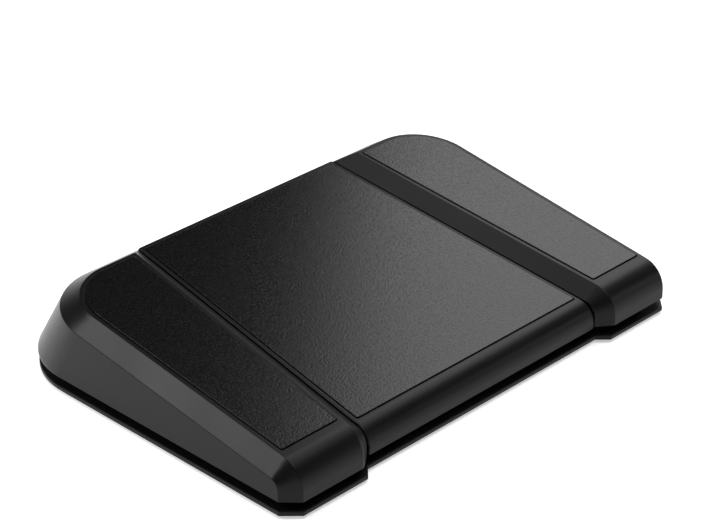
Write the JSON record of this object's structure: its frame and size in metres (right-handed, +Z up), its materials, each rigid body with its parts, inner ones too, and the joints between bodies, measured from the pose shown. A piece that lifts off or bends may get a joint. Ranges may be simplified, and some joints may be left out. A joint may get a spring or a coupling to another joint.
{
  "type": "foot pedal switch",
  "caption": "Low floor switch with three sprung foot pedals side by side on a flat base plate, each with a textured grip pad, and a data inlet at the rear.",
  "frame": {"origin": "on the floor under the middle of the base plate", "axes": "+X to the right across the pedals, +Y from the low front edge to the high rear, +Z up"},
  "size_m": [0.243, 0.1836, 0.0458],
  "materials": {
    "powder_coated_steel": "fine black powder coat on a sheared steel plate",
    "cap_plastic": "satin moulded ABS",
    "pad_vinyl": "fine grained matte sheet",
    "nylon": "moulded glass-filled nylon",
    "rubber": "matte rubber",
    "board_laminate": "green solder mask",
    "chip_epoxy": "moulded epoxy",
    "bright_steel": "bright drawn steel",
    "spring_steel": "oiled spring wire",
    "zinc_steel": "bright zinc plate",
    "switch_plastic": "moulded nylon",
    "stem_plastic": "moulded acetal"
  },
  "bodies": {
    "base": {"base_plate": "powder_coated_steel", "foot_front_left": "rubber", "foot_front_right": "rubber", "foot_rear_left": "rubber", "foot_rear_right": "rubber", "chassis_tray": "nylon", "circuit_board": "board_laminate", "controller_chip": "chip_epoxy", "usb_receptacle_shell": "bright_steel", "usb_receptacle_tongue": "chip_epoxy", "board_screws": "zinc_steel", "base_screws": "zinc_steel", "hinge_axle_left": "bright_steel", "axle_clips_left": "bright_steel", "key_switch_left": "switch_plastic", "bump_stops_left": "rubber", "hinge_axle_middle": "bright_steel", "axle_clips_middle": "bright_steel", "key_switch_middle": "switch_plastic", "bump_stops_middle": "rubber", "hinge_axle_right": "bright_steel", "axle_clips_right": "bright_steel", "key_switch_right": "switch_plastic", "bump_stops_right": "rubber", "return_spring_left": "spring_steel", "return_spring_middle_left": "spring_steel", "return_spring_middle_right": "spring_steel", "return_spring_right": "spring_steel"},
    "pedal_left": {"pedal_cap_left": "cap_plastic", "grip_pad_left": "pad_vinyl", "lever_frame_left": "nylon", "cap_screws_left": "zinc_steel"},
    "stem_left": {"switch_stem_left": "stem_plastic"},
    "pedal_middle": {"pedal_cap_middle": "cap_plastic", "grip_pad_middle": "pad_vinyl", "lever_frame_middle": "nylon", "cap_screws_middle": "zinc_steel"},
    "stem_middle": {"switch_stem_middle": "stem_plastic"},
    "pedal_right": {"pedal_cap_right": "cap_plastic", "grip_pad_right": "pad_vinyl", "lever_frame_right": "nylon", "cap_screws_right": "zinc_steel"},
    "stem_right": {"switch_stem_right": "stem_plastic"}
  },
  "joints": [
    {"name": "pedal_left_hinge", "type": "hinge", "parent": "base", "child": "pedal_left", "pos_m": [-0.09557, -0.0718, 0.01], "axis": [-1, 0, 0], "range_deg": [0, 1.3], "stiffness_Nm_per_rad": 30, "springref_deg": -2.86, "deforming": ["return_spring_left"]},
    {"name": "stem_left_slide", "type": "slide", "parent": "base", "child": "stem_left", "axis": [0, 0, -1], "range_m": [0, 0.0023]},
    {"name": "pedal_middle_hinge", "type": "hinge", "parent": "base", "child": "pedal_middle", "pos_m": [0, -0.0718, 0.01], "axis": [-1, 0, 0], "range_deg": [0, 1.3], "stiffness_Nm_per_rad": 60, "springref_deg": -2.86, "deforming": ["return_spring_middle_left", "return_spring_middle_right"]},
    {"name": "stem_middle_slide", "type": "slide", "parent": "base", "child": "stem_middle", "axis": [0, 0, -1], "range_m": [0, 0.0023]},
    {"name": "pedal_right_hinge", "type": "hinge", "parent": "base", "child": "pedal_right", "pos_m": [0.09557, -0.0718, 0.01], "axis": [-1, 0, 0], "range_deg": [0, 1.3], "stiffness_Nm_per_rad": 30, "springref_deg": -2.86, "deforming": ["return_spring_right"]},
    {"name": "stem_right_slide", "type": "slide", "parent": "base", "child": "stem_right", "axis": [0, 0, -1], "range_m": [0, 0.0023]}
  ],
  "couplings": [
    {"joint": "stem_left_slide", "follows": "pedal_left_hinge", "m_per_rad": 0.0945},
    {"joint": "stem_middle_slide", "follows": "pedal_middle_hinge", "m_per_rad": 0.0945},
    {"joint": "stem_right_slide", "follows": "pedal_right_hinge", "m_per_rad": 0.0945}
  ]
}
